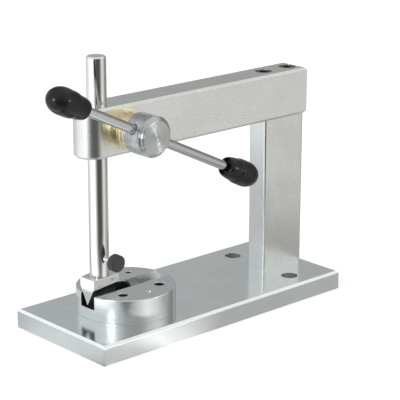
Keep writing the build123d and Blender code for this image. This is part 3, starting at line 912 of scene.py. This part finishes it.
    def near_floor(self) -> None:
        """Lays the bright paper just around the press, as polished sides mirror it.

        Its level goes by the bearing from the anvil's middle, and it fades out at a distance
        r + pull (x cos b + y sin b), so that it reaches less far on the side b.
        """
        ring = np.linspace(*self.near_span, self.near_rows)[:, None]
        turn = np.linspace(0, 2 * np.pi, self.near_columns, endpoint=False)[None, :]
        low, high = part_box("anvil_disc")
        middle = (low + high) / 2
        across = middle.x + ring * np.cos(turn)
        along = middle.y + ring * np.sin(turn)
        points = np.stack([across, along, 0 * ring * turn - self.near_gap], -1)
        made = Surface.sheet("near_floor", points, False, True)
        paper, graph = Finish("near_floor_glow").graph()
        x, y, _ = graph.split(graph.stretched((1, 1, 1), (middle.x, middle.y, 0)))
        level = self.ring_light(graph, graph.bearing(x, y), self.near_ring)
        short = math.radians(self.short_side)
        towards_short = x * math.cos(short) + y * math.sin(short)
        far = x.math("SQRT", x * x + y * y) + towards_short * self.short_pull
        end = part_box("base_plate")[0].x - middle.x
        outer = end - self.strip_width
        strip = x.step(outer - self.strip_edge, outer) * x.step(end + self.strip_edge, end)
        level = graph.mix(strip * self.end_strip, level, (0.0, 0.0, 0.0))
        glow = graph.node("ShaderNodeEmission", inputs={"Color": level, "Strength": HEADROOM})
        clear = graph.node("ShaderNodeBsdfTransparent")
        begun, gone = self.near_fade
        mixed = graph.node(
            "ShaderNodeMixShader", inputs={0: far.step(gone, begun), 1: clear, 2: glow}
        )
        graph.output("ShaderNodeOutputMaterial", mixed)
        made.data.materials.append(paper)
        for ray in ("camera", "diffuse", "transmission", "volume_scatter", "shadow"):
            setattr(made, f"visible_{ray}", False)

    def camera(self) -> None:
        """Sets the camera that looks along the press from its ram end."""
        lens = bpy.data.cameras.new("camera")
        lens.sensor_width = self.sensor_width
        lens.lens = self.focal_length
        lens.clip_start = 0.05
        lens.clip_end = 50.0
        made = bpy.data.objects.new("camera", lens)
        bpy.context.scene.collection.objects.link(made)
        made.matrix_world = camera_matrix(self.camera_place, *self.camera_turn)
        bpy.context.scene.camera = made

    def build(self) -> None:
        """Builds floor, light and camera."""
        self.surroundings()
        self.floor()
        self.near_floor()
        self.camera()
        bpy.context.scene.view_settings.view_transform = "Standard"


# ------------------------------------------------------------------ sub-assemblies
class SubAssembly:
    """What the sub-assemblies share: a way to put a finish on CAD nodes."""

    def dress(self, finish: Finish, *nodes: str) -> None:
        """Puts one finish on several CAD nodes.

        Args:
            finish: the finish.
            nodes: the nodes' names.
        """
        material = finish.material()
        for name in nodes:
            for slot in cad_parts[name].material_slots:
                slot.material = material
            LOG.info("%s: %s in %s", type(self).__name__, name, material.name)

    @staticmethod
    def middle(node: str) -> tuple[float, float, float]:
        """Middle of a CAD node's box."""
        low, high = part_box(node)
        return tuple((low + high) / 2)


@dataclass
class StandingFrame(SubAssembly):
    """Base plate, pillar, arm and the screws and dowels that hold them."""

    fixing_x: float = 69.4 * MM
    fixing_half_spacing: float = 27.0 * MM
    fixing_sink_radius: float = 5.6 * MM
    fixing_rim: float = 0.1 * MM
    edge_wear: float = 0.35 * MM

    def build(self) -> None:
        """Dresses the standing frame."""
        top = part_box("base_plate")[1].z
        # the two fixing screws' countersinks get painted shade inside
        sinks = tuple(
            Recess((self.fixing_x, side * self.fixing_half_spacing, top),
                   self.fixing_sink_radius, self.fixing_sink_radius, self.fixing_rim)
            for side in (-1, 1)
        )
        self.dress(
            GrainedSteel("ground_plate", tint=(0.87, 0.905, 0.915), cloud_tint=(0.79, 0.82, 0.83),
                         roughness=0.17, roughness_swing=0.06, groove_depth=0.003 * MM,
                         edge_radius=self.edge_wear, recesses=sinks),
            "base_plate",
        )
        self.dress(
            GrainedSteel("pillar_steel", grain=Axis.Z, tint=(0.72, 0.735, 0.73),
                         cloud_tint=(0.62, 0.62, 0.60), roughness=0.27),
            "pillar",
        )
        self.dress(
            GrainedSteel("arm_steel", grain=Axis.X, tint=(0.74, 0.745, 0.735),
                         cloud_tint=(0.66, 0.655, 0.635), roughness=0.27, cloud_size=26 * MM),
            "arm",
        )
        self.dress(DarkFinish("black_oxide"), "arm_screws", "base_screws", "drag_screw")
        self.dress(PolishedBar("dowel_steel"), "pillar_dowels")
        self.dress(
            DarkFinish("nylon_plug", tint=(0.75, 0.74, 0.68), pale_tint=(0.85, 0.84, 0.80),
                       metallic=0.0, roughness=0.5),
            "drag_plug",
        )


@dataclass
class RamUnit(SubAssembly):
    """Ram, bending punch and the knurled thumb screw that holds the punch."""

    head: KnurledHead = field(default_factory=KnurledHead)

    def build(self) -> None:
        """Dresses the ram and makes the knurled head."""
        self.dress(PolishedBar("ram_steel", roughness=0.12), "ram")
        self.dress(
            GrainedSteel("punch_steel", grain=Axis.Y, tint=(0.78, 0.78, 0.77),
                         cloud_tint=(0.70, 0.69, 0.67), roughness=0.07, roughness_swing=0.05,
                         groove_depth=0.002 * MM, edge_radius=0.15 * MM),
            "bending_punch",
        )
        self.dress(PolishedBar("screw_steel", grain=Axis.Y, roughness=0.2), "thumb_screw")
        low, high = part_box("thumb_knob")
        made = Surface.sheet(
            "knurled_head", self.head.surface(low, high), False, True, capped=True
        )
        made.data.materials.append(
            DarkFinish("knurled_black", metallic=0.0, roughness=0.42).material()
        )
        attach(made, "thumb")
        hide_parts("thumb_knob")
        LOG.info("RamUnit: knurled head of %d teeth", self.head.teeth)


@dataclass
class AnvilUnit(SubAssembly):
    """Turning anvil disc and its pivot pin."""

    station_radius: float = 20.75 * MM
    #: bearing in degrees and radius of a station hole with its countersink
    stations: tuple[tuple[float, float], ...] = (
        (-135.0, 3.2 * MM), (-44.0, 3.5 * MM), (46.0, 2.2 * MM), (135.0, 2.95 * MM),
        (90.0, 1.7 * MM),
    )
    slot_half_width: float = 6.3 * MM
    slot_depth: float = 8.35 * MM
    slot_rim: float = 0.8 * MM
    #: : how far inside the disc's edge the slot's painted shade ends
    edge_inset: float = 0.4 * MM

    def recesses(self) -> tuple[Recess, ...]:
        """Hollows cut in the disc's top, the square slot and the station holes, which get painted
        shade.
        """
        low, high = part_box("anvil_disc")
        middle = (low + high) / 2
        rim = middle.x - low.x - self.edge_inset
        half = self.slot_half_width
        slot = Recess(
            (middle.x + (half - rim) / 2, middle.y, high.z),
            (half + rim) / 2, half, self.slot_rim, self.slot_depth, round_plan=False,
        )
        holes = tuple(
            Recess(
                (middle.x + self.station_radius * math.cos(math.radians(bearing)),
                 middle.y + self.station_radius * math.sin(math.radians(bearing)), high.z),
                radius, radius,
            )
            for bearing, radius in self.stations
        )
        return (slot, *holes)

    def build(self) -> None:
        """Dresses the disc and its pin."""
        self.dress(
            TurnedMetal("turned_disc", axis=Axis.Z, centre=self.middle("anvil_disc"),
                        roughness=0.17, tint=(0.70, 0.73, 0.74), dull_tint=(0.63, 0.66, 0.665),
                        # the slot and station holes get painted shade inside
                        ring_depth=0.004 * MM, groove_spread=0.22, recesses=self.recesses()),
            "anvil_disc", "anvil_pivot_pin",
        )


@dataclass
class PinionUnit(SubAssembly):
    """Brass bushes, pinion shaft and the turned hub on its end."""

    hub_spread: float = 1.9

    def build(self) -> None:
        """Dresses the pinion unit about the shaft's axis."""
        hub = self.middle("handle_hub")
        self.dress(
            TurnedMetal("turned_hub", axis=Axis.Y, centre=hub, roughness=0.16,
                        tint=(0.49, 0.505, 0.515), groove_spread=self.hub_spread),
            "handle_hub", "pinion_shaft", "pinion_washer",
        )
        self.dress(
            TurnedMetal("turned_brass", axis=Axis.Y, centre=hub, roughness=0.2,
                        tint=(0.95, 0.82, 0.46), dull_tint=(0.88, 0.74, 0.39), ring_shade=0.3,
                        groove_spread=1.3),
            "front_bush", "rear_bush",
        )
        self.dress(PolishedBar("pin_steel", grain=Axis.Z), "hub_pin")
        self.dress(DarkFinish("black_clip"), "retaining_ring", "bar_clamp_screw")


@dataclass
class HandleUnit(SubAssembly):
    """Cross bar, its two black knobs and their threaded inserts."""

    bar_roughness: float = 0.13

    def build(self) -> None:
        """Dresses the handle."""
        self.dress(
            PolishedBar("bar_steel", grain=Axis.X, roughness=self.bar_roughness,
                        tint=(0.54, 0.545, 0.55)),
            "handle_bar",
        )
        self.dress(GlossPlastic("knob_plastic"), "knob_long_end", "knob_short_end")
        self.dress(DarkFinish("black_insert"), "insert_long_end", "insert_short_end")


def main() -> None:
    """Builds the studio and then each sub-assembly."""
    logging.basicConfig(level=logging.INFO, format="%(name)s: %(message)s")
    Studio().build()
    for unit in (StandingFrame(), RamUnit(), AnvilUnit(), PinionUnit(), HandleUnit()):
        unit.build()
        LOG.info("built %s", type(unit).__name__)


if __name__ == "__main__":
    main()
